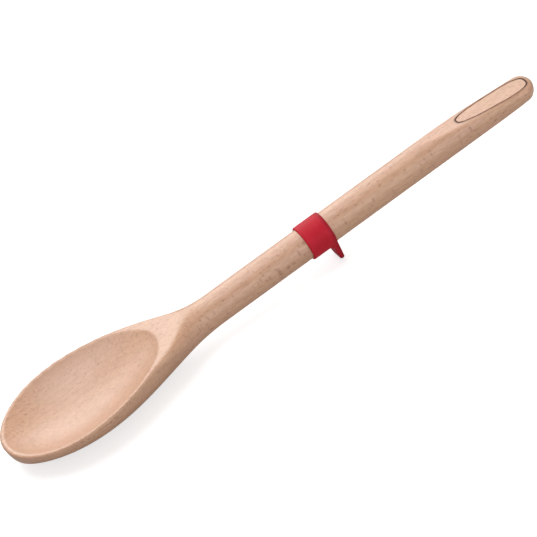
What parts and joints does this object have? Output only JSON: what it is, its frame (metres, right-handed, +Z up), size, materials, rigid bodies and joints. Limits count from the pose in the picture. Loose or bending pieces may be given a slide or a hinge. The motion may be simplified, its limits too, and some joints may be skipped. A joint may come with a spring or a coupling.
{
  "type": "wooden spoon",
  "caption": "Beech cooking spoon with a scooped oval bowl, a round handle with a sloping end flat, and a sliding silicone ring whose tongue hooks over the rim of a pan.",
  "frame": {"origin": "centre of the bottom of the bounding box, on the table on which the spoon lies on its bowl and on the ring's tongue", "axes": "+X from the bowl to the end of the handle, +Y across the bowl, +Z up from the table. The handle's axis rises by 2.57 degrees towards +X."},
  "size_m": [0.3066, 0.0624, 0.0282],
  "materials": {
    "beech": "fine sanded, oiled, matt",
    "silicone": "moulded silicone, satin"
  },
  "bodies": {
    "spoon": {"wooden_spoon": "beech"},
    "ring": {"rest_ring": "silicone"}
  },
  "joints": [
    {"name": "ring_slide", "type": "slide", "parent": "spoon", "child": "ring", "axis": [0.999, 0, 0.0448], "range_m": [-0.053, 0.136]}
  ]
}
